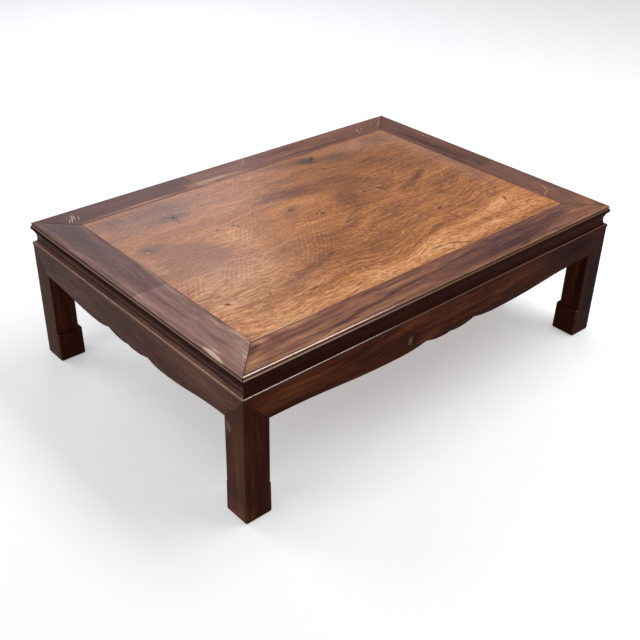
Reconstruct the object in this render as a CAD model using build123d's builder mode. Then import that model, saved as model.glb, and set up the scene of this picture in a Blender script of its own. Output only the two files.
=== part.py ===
from build123d import *
import os

# A kang table: a low table with a hollow waist, cusped aprons and squared feet.
#
# The top is a mitred frame, tenoned at its corners, which holds one floating panel in a
# groove. Tapered battens are dovetailed across the underside of the panel. Each apron
# meets two legs in embracing shoulders and hangs on them by dovetail pins. A waist strip
# closes the space between each apron and the frame.
#
# Millimetres, +Z up. The origin is on the floor under the middle of the table, and X runs
# along the long sides. The pieces of a side are drawn in the frame of that side: x along
# it, y inward from the face of the apron, z up from the floor. The leg is drawn in the
# frame of its corner: x and y inward from the two faces that meet there.

# ---- overall size, over the faces of the aprons ----
table_length = 965.0
table_width = 683.0
table_height = 302.0

# ---- frame of the top, with its moulded edge ----
frame_thickness = 21.0
frame_inset = 2.2            # edge of the top, in from the face of the apron
member_width = 72.0          # from the edge of the top to the panel
top_arris_radius = 2.8
quirk_drop = 4.0             # top of the upper quirk, below the top surface
quirk = 1.4                  # fine step above and below the bead
bead_inset = 0.3             # nose of the bead, in from the face of the apron
bead_bottom_inset = 2.6
bead_bottom_rise = 4.6       # bottom of the bead, above the underside
cove_bottom_inset = 5.2
cove_depth = 0.5
fillet_height = 1.0          # upright fillet under the cove
inner_chamfer = 0.4          # broken edges on both sides of the panel joint

# ---- corner tenon of the frame, on the long members ----
corner_tenon_width = 24.0
corner_tenon_thickness = 7.0
corner_tenon_drop = 6.5      # top of the tenon, below the top surface
corner_tenon_inset = 14.0    # tip of the tenon, in from the face of the apron
corner_tenon_margin = 5.0    # wood left between the tenon and the panel's groove

# ---- panel ----
panel_thickness = 13.0
panel_gap = 0.4              # room for the panel to move, at its shoulder
tongue_thickness = 5.0
tongue_length = 9.0
tongue_drop = 6.0            # top of the tongue, below the top surface

# ---- battens ----
batten_width = 32.0
batten_height = 14.0
batten_head_width = 28.0     # dovetail at the middle of the batten
batten_root_width = 22.0
batten_dovetail_height = 4.0
batten_taper = 3.0           # change of the dovetail's width from the back to the front
batten_tenon_width = 20.0
batten_tenon_thickness = 4.0
batten_tenon_length = 10.0

# ---- waist ----
waist_height = 20.5
waist_inset = 6.0
waist_hollow = 2.0           # depth of the hollow in its face
waist_tongue_thickness = 5.0
waist_tongue_centre = 15.0   # in from the face of the apron
waist_tongue_height = 3.0

# ---- apron ----
apron_thickness = 22.0
ledge_round = 2.6            # rounding of the ledge's arris, in from the face
ledge_drop = 4.5             # the same rounding, down from the ledge
apron_end_depth = 57.8       # from the ledge to the lower edge beside a leg
lobe_drop = 13.8             # how far the long lobe hangs below the ends
long_lobe_offset = 131.0     # lowest point of the long lobe, from the middle
short_lobe_offset = 107.0
cusp_offset = 64.5
cusp_rise = 6.9
inner_lobe_offset = 24.5
notch_rise = 1.8

# ---- leg and foot ----
leg_width = 52.0
leg_arris_radius = 4.2
leg_side_radius = 1.5
leg_inner_radius = 10.0
foot_height = 64.0
foot_step_at_floor = 4.5     # how far the foot stands out from the leg's inner faces
foot_step_at_ledge = 3.5
foot_side_radius = 4.6
foot_inner_radius = 4.6
foot_ledge_radius = 2.0
foot_bottom_radius = 3.8

# ---- joints between the legs and the rest ----
pin_root_width = 8.0         # dovetail pin that an apron hangs on
pin_head_width = 12.0
pin_depth = 7.0
pin_top_drop = 16.0          # top of the pin, below the top of the apron
leg_tenon_margin = 2.5       # in from the sides of the leg's core
leg_tenon_gap = 7.0          # between the two tenons, along a side
long_tenon_height = 14.0
socket_web = 2.0             # wood left between the two sockets in an end member

# ---- fits ----
fit = 0.2                    # clearance on each side of a tenon, tongue or pin
end_room = 0.5               # room at the end of a tenon or tongue

# ---- heights, from the floor ----
half_length = table_length / 2
half_width = table_width / 2
frame_underside = table_height - frame_thickness
panel_underside = table_height - panel_thickness
tongue_middle = table_height - tongue_drop - tongue_thickness / 2
corner_tenon_middle = table_height - corner_tenon_drop - corner_tenon_thickness / 2
batten_tenon_middle = (panel_underside + frame_underside) / 2
apron_top = frame_underside - waist_height
apron_face_top = apron_top - ledge_drop
apron_end = apron_top - apron_end_depth
lobe_bottom = apron_end - lobe_drop
pin_top = apron_top - pin_top_drop

# ---- places and lengths that follow from the sizes above ----
member_inner_face = frame_inset + member_width
opening_length = table_length - 2 * member_inner_face
opening_width = table_width - 2 * member_inner_face
panel_groove_depth = tongue_length - panel_gap + end_room
corner_tenon_length = member_inner_face - corner_tenon_inset
corner_tenon_centre = (
    member_inner_face - panel_groove_depth - corner_tenon_margin - corner_tenon_width / 2
)
batten_spacing = opening_length / 4
batten_places = {"left": -batten_spacing, "middle": 0, "right": batten_spacing}
shoulder_rise = apron_face_top - apron_end
core_width = leg_width - apron_thickness
core_centre = apron_thickness + core_width / 2
leg_tenon_size = (core_width - 2 * leg_tenon_margin - leg_tenon_gap) / 2
near_tenon = apron_thickness + leg_tenon_margin + leg_tenon_size / 2
far_tenon = leg_width - leg_tenon_margin - leg_tenon_size / 2
corner_tenon_underside = corner_tenon_middle - corner_tenon_thickness / 2 - fit
short_tenon_height = corner_tenon_underside - socket_web - end_room - frame_underside

# ---- planes of the sides and corners ----
side_planes = {
    "front": Plane(origin=(0, -half_width, 0), x_dir=(1, 0, 0)),
    "right": Plane(origin=(half_length, 0, 0), x_dir=(0, 1, 0)),
    "back": Plane(origin=(0, half_width, 0), x_dir=(-1, 0, 0)),
    "left": Plane(origin=(-half_length, 0, 0), x_dir=(0, -1, 0)),
}
corner_planes = {
    "front_left": Plane(origin=(-half_length, -half_width, 0), x_dir=(1, 0, 0)),
    "front_right": Plane(origin=(half_length, -half_width, 0), x_dir=(0, 1, 0)),
    "back_right": Plane(origin=(half_length, half_width, 0), x_dir=(-1, 0, 0)),
    "back_left": Plane(origin=(-half_length, half_width, 0), x_dir=(0, -1, 0)),
}
long_sides = ("front", "back")
short_sides = ("left", "right")

os.makedirs("parts", exist_ok=True)


def save(piece, name):
    """Label a finished piece and write it under that name."""
    piece.part.label = name
    export_step(piece.part, f"parts/{name}.step")


def mitre_plane(half_side, end):
    """Upright plane of the corner mitre at one end of a side, facing out of the piece."""
    return Plane(origin=(end * half_side, 0, 0), z_dir=(end, 1, 0))


def shoulder_plane(half_side, end):
    """Sloping plane where an apron rests on a leg, facing out of the apron."""
    return Plane(
        origin=(end * half_side, 0, apron_face_top),
        z_dir=(end * shoulder_rise, 0, -leg_width),
    )


# ---- frame members ----
def frame_blank(half_side):
    """A mitred length of the moulded frame, grooved for the panel and the waist."""
    arris_end = (frame_inset, table_height - top_arris_radius)
    quirk_top = (frame_inset, table_height - quirk_drop)
    quirk_bottom = (frame_inset + quirk, quirk_top[1] - quirk)
    bead_bottom = (bead_bottom_inset, frame_underside + bead_bottom_rise)
    bead_nose = (bead_inset, (quirk_bottom[1] + bead_bottom[1]) / 2)
    cove_top = (bead_bottom_inset + quirk, bead_bottom[1] - quirk)
    cove_bottom = (cove_bottom_inset, frame_underside + fillet_height)
    cove_middle = (
        (cove_top[0] + cove_bottom[0]) / 2 + cove_depth,
        (cove_top[1] + cove_bottom[1]) / 2,
    )
    with BuildPart() as blank:
        with BuildSketch(Plane.YZ):
            with BuildLine():
                arris = JernArc(arris_end, (0, 1), top_arris_radius, -90)
                Polyline(arris_end, quirk_top, quirk_bottom)
                ThreePointArc(quirk_bottom, bead_nose, bead_bottom)
                Line(bead_bottom, cove_top)
                ThreePointArc(cove_top, cove_middle, cove_bottom)
                Polyline(
                    cove_bottom,
                    (cove_bottom_inset, frame_underside),
                    (member_inner_face, frame_underside),
                    (member_inner_face, table_height - inner_chamfer),
                    (member_inner_face - inner_chamfer, table_height),
                    arris @ 1,
                )
            make_face()
            # Groove for the tongue of the panel
            with Locations((member_inner_face, tongue_middle)):
                Rectangle(
                    2 * panel_groove_depth, tongue_thickness + 2 * fit, mode=Mode.SUBTRACT
                )
            # Groove for the tongue of the waist
            with Locations((waist_tongue_centre, frame_underside)):
                Rectangle(
                    waist_tongue_thickness + 2 * fit,
                    2 * (waist_tongue_height + end_room),
                    mode=Mode.SUBTRACT,
                )
        extrude(amount=half_side, both=True)
        for end in (-1, 1):
            split(bisect_by=mitre_plane(half_side, end), keep=Keep.BOTTOM)
    return blank


def cut_leg_sockets(half_side, tenon_height):
    """Cut the two sockets, one near each end, for the tenons on top of the legs."""
    with Locations(
        (far_tenon - half_side, near_tenon, frame_underside),
        (half_side - far_tenon, near_tenon, frame_underside),
    ):
        Box(
            leg_tenon_size + 2 * fit,
            leg_tenon_size + 2 * fit,
            2 * (tenon_height + end_room),
            mode=Mode.SUBTRACT,
        )


rail_blank = frame_blank(half_length)
end_blank = frame_blank(half_width)

with BuildPart() as frame_rail:
    add(rail_blank.part)
    # Tenon through each mitre, into the end member
    tenon_reach = half_length - corner_tenon_inset - corner_tenon_length / 2
    with Locations(
        (-tenon_reach, corner_tenon_centre, corner_tenon_middle),
        (tenon_reach, corner_tenon_centre, corner_tenon_middle),
    ):
        Box(corner_tenon_length, corner_tenon_width, corner_tenon_thickness)
    cut_leg_sockets(half_length, long_tenon_height)
    # Mortises for the battens, in the inner face
    for place in batten_places.values():
        with Locations((place, member_inner_face, batten_tenon_middle)):
            Box(
                batten_tenon_width + 2 * fit,
                2 * (batten_tenon_length + end_room),
                batten_tenon_thickness + 2 * fit,
                mode=Mode.SUBTRACT,
            )

with BuildPart() as frame_end:
    add(end_blank.part)
    # Mortise for the tenon of each long member
    mortise_reach = half_width - corner_tenon_centre
    with Locations(
        (-mortise_reach, member_inner_face, corner_tenon_middle),
        (mortise_reach, member_inner_face, corner_tenon_middle),
    ):
        Box(
            corner_tenon_width + 2 * fit,
            2 * (corner_tenon_length + end_room),
            corner_tenon_thickness + 2 * fit,
            mode=Mode.SUBTRACT,
        )
    cut_leg_sockets(half_width, short_tenon_height)

for side in long_sides:
    with BuildPart(side_planes[side]) as placed_rail:
        add(frame_rail.part)
    save(placed_rail, f"frame_rail_{side}")

for side in short_sides:
    with BuildPart(side_planes[side]) as placed_end:
        add(frame_end.part)
    save(placed_end, f"frame_end_{side}")


# ---- panel and battens ----
def batten_dovetail(reach, clearance):
    """The tapered dovetail of a batten, from -reach to +reach across the table."""
    foot = panel_underside - fit
    crown = panel_underside + batten_dovetail_height + clearance
    with BuildPart() as dovetail:
        for end_y in (-reach, reach):
            widening = clearance - batten_taper * end_y / opening_width / 2
            root = batten_root_width / 2 + widening
            head = batten_head_width / 2 + widening
            with BuildSketch(Plane.XZ.offset(-end_y)):
                with BuildLine():
                    Polyline((-root, foot), (root, foot), (head, crown), (-head, crown), close=True)
                make_face()
        loft()
    return dovetail


dovetail_groove = batten_dovetail(opening_width / 2 + tongue_length, fit)
dovetail_tongue = batten_dovetail(opening_width / 2 - fit, 0)

with BuildPart() as top_panel:
    with Locations((0, 0, table_height - panel_thickness / 2)):
        Box(opening_length - 2 * panel_gap, opening_width - 2 * panel_gap, panel_thickness)
    chamfer(faces().sort_by(Axis.Z)[-1].edges(), length=inner_chamfer)
    tongue_reach = 2 * (tongue_length - panel_gap)
    with Locations((0, 0, tongue_middle)):
        Box(opening_length + tongue_reach, opening_width + tongue_reach, tongue_thickness)
    # Dovetail grooves, open at both edges so that the battens can be driven in
    for place in batten_places.values():
        with Locations((place, 0, 0)):
            add(dovetail_groove.part, mode=Mode.SUBTRACT)
save(top_panel, "top_panel")

with BuildPart() as batten:
    with Locations((0, 0, panel_underside - batten_height / 2)):
        Box(batten_width, opening_width - 2 * fit, batten_height)
    add(dovetail_tongue.part)
    with Locations((0, 0, batten_tenon_middle)):
        Box(batten_tenon_width, opening_width + 2 * batten_tenon_length, batten_tenon_thickness)

for name, place in batten_places.items():
    with BuildPart(Plane(origin=(place, 0, 0))) as placed_batten:
        add(batten.part)
    save(placed_batten, f"batten_{name}")


# ---- waist strips ----
def waist_blank(half_side):
    """A mitred strip with a hollow face and a tongue above and below."""
    waist_middle = apron_top + waist_height / 2
    with BuildPart() as strip:
        with BuildSketch(Plane.YZ):
            with BuildLine():
                hollow = ThreePointArc(
                    (waist_inset, apron_top),
                    (waist_inset + waist_hollow, waist_middle),
                    (waist_inset, frame_underside),
                )
                Polyline(
                    hollow @ 1,
                    (apron_thickness, frame_underside),
                    (apron_thickness, apron_top),
                    hollow @ 0,
                )
            make_face()
            with Locations((waist_tongue_centre, waist_middle)):
                Rectangle(waist_tongue_thickness, waist_height + 2 * waist_tongue_height)
        extrude(amount=half_side, both=True)
        for end in (-1, 1):
            split(bisect_by=mitre_plane(half_side, end), keep=Keep.BOTTOM)
    return strip


# ---- aprons ----
def pin_section(clearance):
    """Dovetail pin in the frame of its corner, narrow where it leaves the core of the leg."""
    root = pin_root_width / 2 + clearance
    head = pin_head_width / 2 + clearance
    head_inset = apron_thickness - pin_depth - clearance
    with BuildSketch() as section:
        with BuildLine():
            Polyline(
                (core_centre - root, apron_thickness),
                (core_centre + root, apron_thickness),
                (core_centre + head, head_inset),
                (core_centre - head, head_inset),
                close=True,
            )
        make_face()
    return section.sketch


pin = pin_section(0)
slot = pin_section(fit)


def apron_blank(half_side, lobe_offset):
    """An apron with a ledge on top, a cusped lower edge and an embracing joint at each end."""
    lobe_start = (half_side - leg_width, apron_end)
    lobe_low = (lobe_offset, lobe_bottom)
    turn = ((lobe_start[0] + lobe_low[0]) / 2, (lobe_start[1] + lobe_low[1]) / 2)
    cusp = (cusp_offset, lobe_bottom + cusp_rise)
    waste_bottom = lobe_bottom - lobe_drop
    with BuildPart() as apron:
        with BuildSketch(Plane.YZ):
            with BuildLine():
                arris = EllipticalCenterArc(
                    (ledge_round, apron_face_top), ledge_round, ledge_drop, 90, arc_size=90
                )
                Polyline(
                    arris @ 1,
                    (0, lobe_bottom),
                    (apron_thickness, lobe_bottom),
                    (apron_thickness, apron_top),
                    arris @ 0,
                )
            make_face()
            # Groove for the tongue of the waist
            with Locations((waist_tongue_centre, apron_top)):
                Rectangle(
                    waist_tongue_thickness + 2 * fit,
                    2 * (waist_tongue_height + end_room),
                    mode=Mode.SUBTRACT,
                )
        extrude(amount=half_side, both=True)
        # Waste below the lower edge: from each leg a long lobe sinks to its lowest point,
        # lifts to a cusp, and a small lobe runs to a shallow notch in the middle
        with BuildSketch(Plane.XZ):
            with BuildLine():
                fall = TangentArc(lobe_start, turn, tangent=(-1, 0))
                TangentArc(turn, lobe_low, tangent=fall % 1)
                TangentArc(lobe_low, cusp, tangent=(-1, 0))
                ThreePointArc(cusp, (inner_lobe_offset, lobe_bottom), (0, lobe_bottom + notch_rise))
                mirror(about=Plane.YZ)
                Polyline(
                    lobe_start,
                    (lobe_start[0], waste_bottom),
                    (-lobe_start[0], waste_bottom),
                    (-lobe_start[0], apron_end),
                )
            make_face()
        extrude(amount=apron_thickness, both=True, mode=Mode.SUBTRACT)
        for end in (-1, 1):
            split(bisect_by=mitre_plane(half_side, end), keep=Keep.BOTTOM)
            split(bisect_by=shoulder_plane(half_side, end), keep=Keep.BOTTOM)
        # Slots that slide down over the pins of the legs
        with BuildSketch(Plane.XY.offset(lobe_bottom)):
            with Locations((-half_side, 0)):
                add(slot)
            mirror(about=Plane.YZ)
        extrude(amount=pin_top + end_room - lobe_bottom, mode=Mode.SUBTRACT)
    return apron


for sides, half_side, lobe_offset in (
    (long_sides, half_length, long_lobe_offset),
    (short_sides, half_width, short_lobe_offset),
):
    waist = waist_blank(half_side)
    apron = apron_blank(half_side, lobe_offset)
    for side in sides:
        with BuildPart(side_planes[side]) as placed_waist:
            add(waist.part)
        save(placed_waist, f"waist_{side}")
        with BuildPart(side_planes[side]) as placed_apron:
            add(apron.part)
        save(placed_apron, f"apron_{side}")


# ---- legs ----
def rounded_square(width, side_radius, inner_radius):
    """Square section in the frame of a corner, rounded at the arris, the sides and inside."""
    with BuildSketch() as section:
        Rectangle(width, width, align=(Align.MIN, Align.MIN))
        from_outer_arris = vertices().sort_by_distance((0, 0))
        fillet(from_outer_arris[1:3], radius=side_radius)
        fillet(vertices().sort_by_distance((0, 0))[0], radius=leg_arris_radius)
        fillet(vertices().sort_by_distance((width, width))[0], radius=inner_radius)
    return section.sketch


floor_width = leg_width + foot_step_at_floor
ledge_width = leg_width + foot_step_at_ledge
shaft_section = rounded_square(leg_width, leg_side_radius, leg_inner_radius)
floor_section = rounded_square(floor_width, foot_side_radius, foot_inner_radius)
ledge_section = rounded_square(ledge_width, foot_side_radius, foot_inner_radius)

with BuildPart() as foot:
    with BuildSketch():
        add(floor_section)
    with BuildSketch(Plane.XY.offset(foot_height)):
        add(ledge_section)
    loft()
    fillet(edges().group_by(Axis.Z)[0], radius=foot_bottom_radius)
    fillet(edges().group_by(Axis.Z)[-1], radius=foot_ledge_radius)

with BuildPart() as leg_blank:
    # Shaft, cut to a point at the corner by the two embracing shoulders
    shaft_start = foot_height - 2 * foot_ledge_radius
    with BuildSketch(Plane.XY.offset(shaft_start)):
        add(shaft_section)
    extrude(amount=apron_face_top - shaft_start)
    for slope in ((shoulder_rise, 0, leg_width), (0, shoulder_rise, leg_width)):
        split(bisect_by=Plane(origin=(0, 0, apron_face_top), z_dir=slope), keep=Keep.BOTTOM)
    # Core behind the aprons and the waist, up to the frame
    with BuildSketch(Plane.XY.offset(shaft_start)):
        with Locations((apron_thickness, apron_thickness)):
            Rectangle(core_width, core_width, align=(Align.MIN, Align.MIN))
        fillet(vertices().sort_by_distance((leg_width, leg_width))[0], radius=leg_inner_radius)
    extrude(amount=frame_underside - shaft_start)
    # Dovetail pins for the two aprons
    with BuildSketch(Plane.XY.offset(apron_end)):
        add(pin)
        mirror(about=Plane(origin=(0, 0, 0), z_dir=(1, -1, 0)))
    extrude(amount=pin_top - apron_end)
    add(foot.part)

for corner, corner_plane in corner_planes.items():
    # The taller tenon of each leg goes into the long member
    if corner in ("front_left", "back_right"):
        long_tenon = (far_tenon, near_tenon, frame_underside)
        short_tenon = (near_tenon, far_tenon, frame_underside)
    else:
        long_tenon = (near_tenon, far_tenon, frame_underside)
        short_tenon = (far_tenon, near_tenon, frame_underside)
    with BuildPart(corner_plane) as placed_leg:
        add(leg_blank.part)
        for place, height in ((long_tenon, long_tenon_height), (short_tenon, short_tenon_height)):
            with Locations(place):
                Box(
                    leg_tenon_size,
                    leg_tenon_size,
                    height,
                    align=(Align.CENTER, Align.CENTER, Align.MIN),
                )
    save(placed_leg, f"leg_{corner}")
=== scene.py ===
import math

import bpy
from mathutils import Matrix, Vector


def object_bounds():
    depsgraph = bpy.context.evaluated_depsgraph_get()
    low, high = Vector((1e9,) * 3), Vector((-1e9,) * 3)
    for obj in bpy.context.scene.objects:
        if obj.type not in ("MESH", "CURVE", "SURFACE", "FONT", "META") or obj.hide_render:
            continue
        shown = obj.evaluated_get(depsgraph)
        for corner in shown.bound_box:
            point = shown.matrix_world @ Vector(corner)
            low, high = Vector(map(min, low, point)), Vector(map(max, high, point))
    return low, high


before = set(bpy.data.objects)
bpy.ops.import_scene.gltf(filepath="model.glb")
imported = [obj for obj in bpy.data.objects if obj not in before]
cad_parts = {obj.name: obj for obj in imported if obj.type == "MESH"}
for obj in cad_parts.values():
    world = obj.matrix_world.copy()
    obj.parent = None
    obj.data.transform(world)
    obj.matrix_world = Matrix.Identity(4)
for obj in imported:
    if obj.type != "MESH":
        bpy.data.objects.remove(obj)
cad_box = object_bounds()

# A kang table in waxed hardwood. The pieces of the frame are shown as they are; this
# script gives each one its wood, then sets the floor, the lamps and the camera.
# Lengths in the materials are millimetres, lengths of the scene are metres.

MILLIMETRES = 1000.0  # in a metre
ALONG_X, ALONG_Y, ALONG_Z = 0, 1, 2

# The table: half its length and width, its height, and the widths of its parts
HALF_LENGTH = cad_box[1].x * MILLIMETRES
HALF_WIDTH = cad_box[1].y * MILLIMETRES
HEIGHT = cad_box[1].z * MILLIMETRES
LEG_WIDTH = 52.0
MEMBER_WIDTH = 72.0  # of the four members round the panel
BEAD_DROP = 6.8  # from the top down to the crest of the bead in the moulded edge

# The surface of the wood
GRAIN_DEPTH = 0.05  # how deep the open grain is
HOLLOW_SHADE_REACH = 5.0  # painted shade darkens where another face stands this near
GLOSS_REACH = 13.0  # arrises this near to the outside of the table are bright
GLOSS_FADE = 3.0  # further in, the brightness ends over this distance
OVAL_DEPTH = 40.0  # how far a soft oval reaches below its face

# The optics of the finish: wood under wax, and its polished arrises. Their index is far
# above that of wax, so that an arris as narrow as these still gleams.
WAX_IOR = 1.5
ARRIS_IOR = 2.4
# Painted shade in the hollows: its colour, and its share where they are deepest
HOLLOW_SHADE_COLOUR, HOLLOW_SHADE_SHARE = "#0d0605", 0.85


# ---------------------------------------------------------------- colours and nodes
def colour(code):
    """An sRGB hex colour as linear RGBA."""
    channels = [int(code[i : i + 2], 16) / 255 for i in (1, 3, 5)]
    linear = [c / 12.92 if c <= 0.04045 else ((c + 0.055) / 1.055) ** 2.4 for c in channels]
    return (*linear, 1.0)


def add(tree, kind, settings=None, inputs=None):
    """Adds a node; each input is a value, or the node or socket that it is linked from."""
    new = tree.nodes.new(kind)
    for name, value in (settings or {}).items():
        setattr(new, name, value)
    for key, value in (inputs or {}).items():
        if isinstance(value, bpy.types.Node):
            value = next(socket for socket in value.outputs if socket.enabled)
        if isinstance(value, bpy.types.NodeSocket):
            tree.links.new(value, new.inputs[key])
        else:
            new.inputs[key].default_value = value
    return new


def new_material(name):
    """An empty node material: returns it, its tree and its output node."""
    material = bpy.data.materials.new(name)
    material.use_nodes = True
    tree = material.node_tree
    tree.nodes.clear()
    return material, tree, tree.nodes.new("ShaderNodeOutputMaterial")


# ---------------------------------------------------------------- places and masks
# Each face that carries soft ovals: its middle, and the axes of the oval's two places
FACES = {
    "top": ((0.0, 0.0, HEIGHT), ALONG_X, ALONG_Y),
    "front": ((0.0, -HALF_WIDTH, 0.0), ALONG_X, ALONG_Z),
    "left": ((-HALF_LENGTH, 0.0, 0.0), ALONG_Y, ALONG_Z),
    "inside_right": ((HALF_LENGTH - LEG_WIDTH, 0.0, 0.0), ALONG_Y, ALONG_Z),
    "inside_back": ((0.0, HALF_WIDTH - LEG_WIDTH, 0.0), ALONG_X, ALONG_Z),
}


def place_in_mm(tree):
    """The point on the piece, in millimetres from the middle of the table's floor."""
    place = add(tree, "ShaderNodeTexCoord").outputs["Object"]
    return add(
        tree,
        "ShaderNodeVectorMath",
        {"operation": "SCALE"},
        {0: place, "Scale": MILLIMETRES},
    )


def facing(tree):
    """The three parts of the direction that the surface faces."""
    normal = add(tree, "ShaderNodeNewGeometry").outputs["Normal"]
    return add(tree, "ShaderNodeSeparateXYZ", None, {0: normal}).outputs


def wandering(tree, place, size, reach):
    """The place pushed about smoothly, up to half of reach, over distances of size."""
    push = add(
        tree, "ShaderNodeTexNoise", None, {"Vector": place, "Scale": 1 / size, "Detail": 2.0}
    )
    middle = add(
        tree,
        "ShaderNodeVectorMath",
        {"operation": "SUBTRACT"},
        {0: push.outputs["Color"], 1: (0.5, 0.5, 0.5)},
    )
    return add(
        tree,
        "ShaderNodeVectorMath",
        {"operation": "MULTIPLY_ADD"},
        {0: middle, 1: (reach, reach, reach), 2: place},
    )


def soft_step(tree, value, low, high, to_low=0.0, to_high=1.0):
    """to_low up to low, to_high from high on, and a smooth step between them.

    low may be the greater of the two, and then the step runs the other way.
    """
    return add(
        tree,
        "ShaderNodeMapRange",
        {"interpolation_type": "SMOOTHSTEP"},
        {"Value": value, "From Min": low, "From Max": high, "To Min": to_low, "To Max": to_high},
    )


def apart(tree, first, second):
    """How far two values lie apart."""
    off = add(tree, "ShaderNodeMath", {"operation": "SUBTRACT"}, {0: first, 1: second})
    return add(tree, "ShaderNodeMath", {"operation": "ABSOLUTE"}, {0: off})


def lifted(tree, value, mask, amount):
    """The value, changed by an amount where the mask is 1."""
    return add(
        tree,
        "ShaderNodeMath",
        {"operation": "MULTIPLY_ADD"},
        {0: mask, 1: amount, 2: value},
    )


def outside_of(tree, place, half_length, half_width):
    """How far the point is outside a rectangle round the middle, negative inside it.

    Returns the distance past its ends, that past its sides, and the greater of them.
    """
    split = add(tree, "ShaderNodeSeparateXYZ", None, {0: place})
    past = []
    for socket, half in ((split.outputs[0], half_length), (split.outputs[1], half_width)):
        size = add(tree, "ShaderNodeMath", {"operation": "ABSOLUTE"}, {0: socket})
        past.append(add(tree, "ShaderNodeMath", {"operation": "SUBTRACT"}, {0: size, 1: half}))
    greater = add(tree, "ShaderNodeMath", {"operation": "MAXIMUM"}, {0: past[0], 1: past[1]})
    return *past, greater


def oval(tree, place, face, first, second, length, width, angle):
    """1 at the middle of an oval on a face, falling evenly to 0 at its edge."""
    centre, first_axis, second_axis = FACES[face]
    centre = list(centre)
    centre[first_axis], centre[second_axis] = first, second
    size = [OVAL_DEPTH] * 3
    size[first_axis], size[second_axis] = length / 2, width / 2
    turned_about = 3 - first_axis - second_axis
    rotation = [0.0, 0.0, 0.0]
    rotation[turned_about] = math.radians(-angle if turned_about == ALONG_Y else angle)
    local = add(
        tree,
        "ShaderNodeMapping",
        {"vector_type": "TEXTURE"},
        {"Vector": place, "Location": centre, "Rotation": rotation, "Scale": size},
    )
    ball = add(tree, "ShaderNodeTexGradient", {"gradient_type": "SPHERICAL"}, {"Vector": local})
    return ball.outputs["Fac"]


def with_ovals(tree, place, tone, face, ovals):
    """Lifts or lowers the tone inside each soft oval by its last number."""
    for *shape, lift in ovals:
        tone = lifted(tree, tone, oval(tree, place, face, *shape), lift)
    return tone


def constant(tree, number):
    """A number for a chain of tones to start from."""
    value = add(tree, "ShaderNodeValue")
    value.outputs[0].default_value = number
    return value


def spots(tree, place, face, ovals, most):
    """Small marks on a face: the strengths of the ovals added up, but never over most."""
    together = with_ovals(tree, place, constant(tree, 0.0), face, ovals)
    return add(tree, "ShaderNodeMath", {"operation": "MINIMUM"}, {0: together, 1: most})


# ---------------------------------------------------------------- grain, colour, wax
def streaks(tree, place, along, length, width, detail=3.0, roughness=0.55):
    """Noise drawn out along the grain: 0 to 1, with fibres of this length and width."""
    stretch = [1 / width] * 3
    stretch[along] = 1 / length
    drawn = add(
        tree, "ShaderNodeVectorMath", {"operation": "MULTIPLY"}, {0: place, 1: tuple(stretch)}
    )
    return add(
        tree,
        "ShaderNodeTexNoise",
        None,
        {"Vector": drawn, "Scale": 1.0, "Detail": detail, "Roughness": roughness},
    ).outputs["Fac"]


def mottle(tree, place, size):
    """Even noise with patches of this size: 0 to 1."""
    return add(
        tree, "ShaderNodeTexNoise", None, {"Vector": place, "Scale": 1 / size, "Detail": 3.0}
    ).outputs["Fac"]


def veins(tree, place, along, length, width, thickness):
    """Dark lines that follow the grain: 1 where drawn-out noise passes through a half."""
    noise = streaks(tree, place, along, length, width, detail=2.0, roughness=0.5)
    return soft_step(tree, apart(tree, noise, 0.5), 0.0, thickness, to_low=1.0, to_high=0.0)


def mixed_in(tree, tone, pattern, amount):
    """The tone, raised where the pattern is over a half and lowered where it is under."""
    centred = add(tree, "ShaderNodeMath", {"operation": "SUBTRACT"}, {0: pattern, 1: 0.5})
    return lifted(tree, tone, centred, amount)


def painted(tree, base, code, share):
    """The base colour with a share of one plain colour over it."""
    # Among the Mix node's sockets, 6 and 7 are the two colours and 2 is their mix
    mix = add(
        tree, "ShaderNodeMix", {"data_type": "RGBA"}, {"Factor": share, 6: base, 7: colour(code)}
    )
    return mix.outputs[2]


def colour_ramp(tree, tone, stops):
    """Colours the tone by stops of (tone, hex colour), the first at 0 and the last at 1."""
    ramp = add(tree, "ShaderNodeValToRGB", None, {"Fac": tone})
    elements = ramp.color_ramp.elements
    for position, _ in stops[1:-1]:
        elements.new(position)
    for element, (_, code) in zip(elements, stops):
        element.color = colour(code)
    return ramp


def varied(tree, pattern, least, most):
    """A value from least to most that follows a pattern of 0 to 1."""
    return add(
        tree,
        "ShaderNodeMapRange",
        None,
        {"Value": pattern, "To Min": least, "To Max": most},
    )


def arrises(tree):
    """Two masks: 1 on the rounded edges that face upwards, and 1 on the upright ones."""
    x, y, z = facing(tree)
    # z is 1 on a level face and 0 on an upright one
    off_upright = soft_step(tree, z, low=0.4, high=0.7)
    off_level = soft_step(tree, z, low=0.97, high=0.88)
    sloping = add(
        tree, "ShaderNodeMath", {"operation": "MULTIPLY"}, {0: off_upright, 1: off_level}
    )
    # The product of x and y is 0 on every plain side and half at the middle of a corner
    corner = add(tree, "ShaderNodeMath", {"operation": "MULTIPLY"}, {0: x, 1: y})
    corner = add(tree, "ShaderNodeMath", {"operation": "ABSOLUTE"}, {0: corner})
    return sloping, soft_step(tree, corner, low=0.12, high=0.4)


def painted_shade_in_hollows(tree):
    """1 deep in quirks and inner corners, 0 in the open: where other faces stand near, for
    painted shade in the hollows.
    """
    air = add(
        tree,
        "ShaderNodeAmbientOcclusion",
        {"samples": 8},
        {"Distance": HOLLOW_SHADE_REACH / MILLIMETRES},
    )
    return soft_step(tree, air.outputs["AO"], low=0.75, high=0.3)


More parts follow.
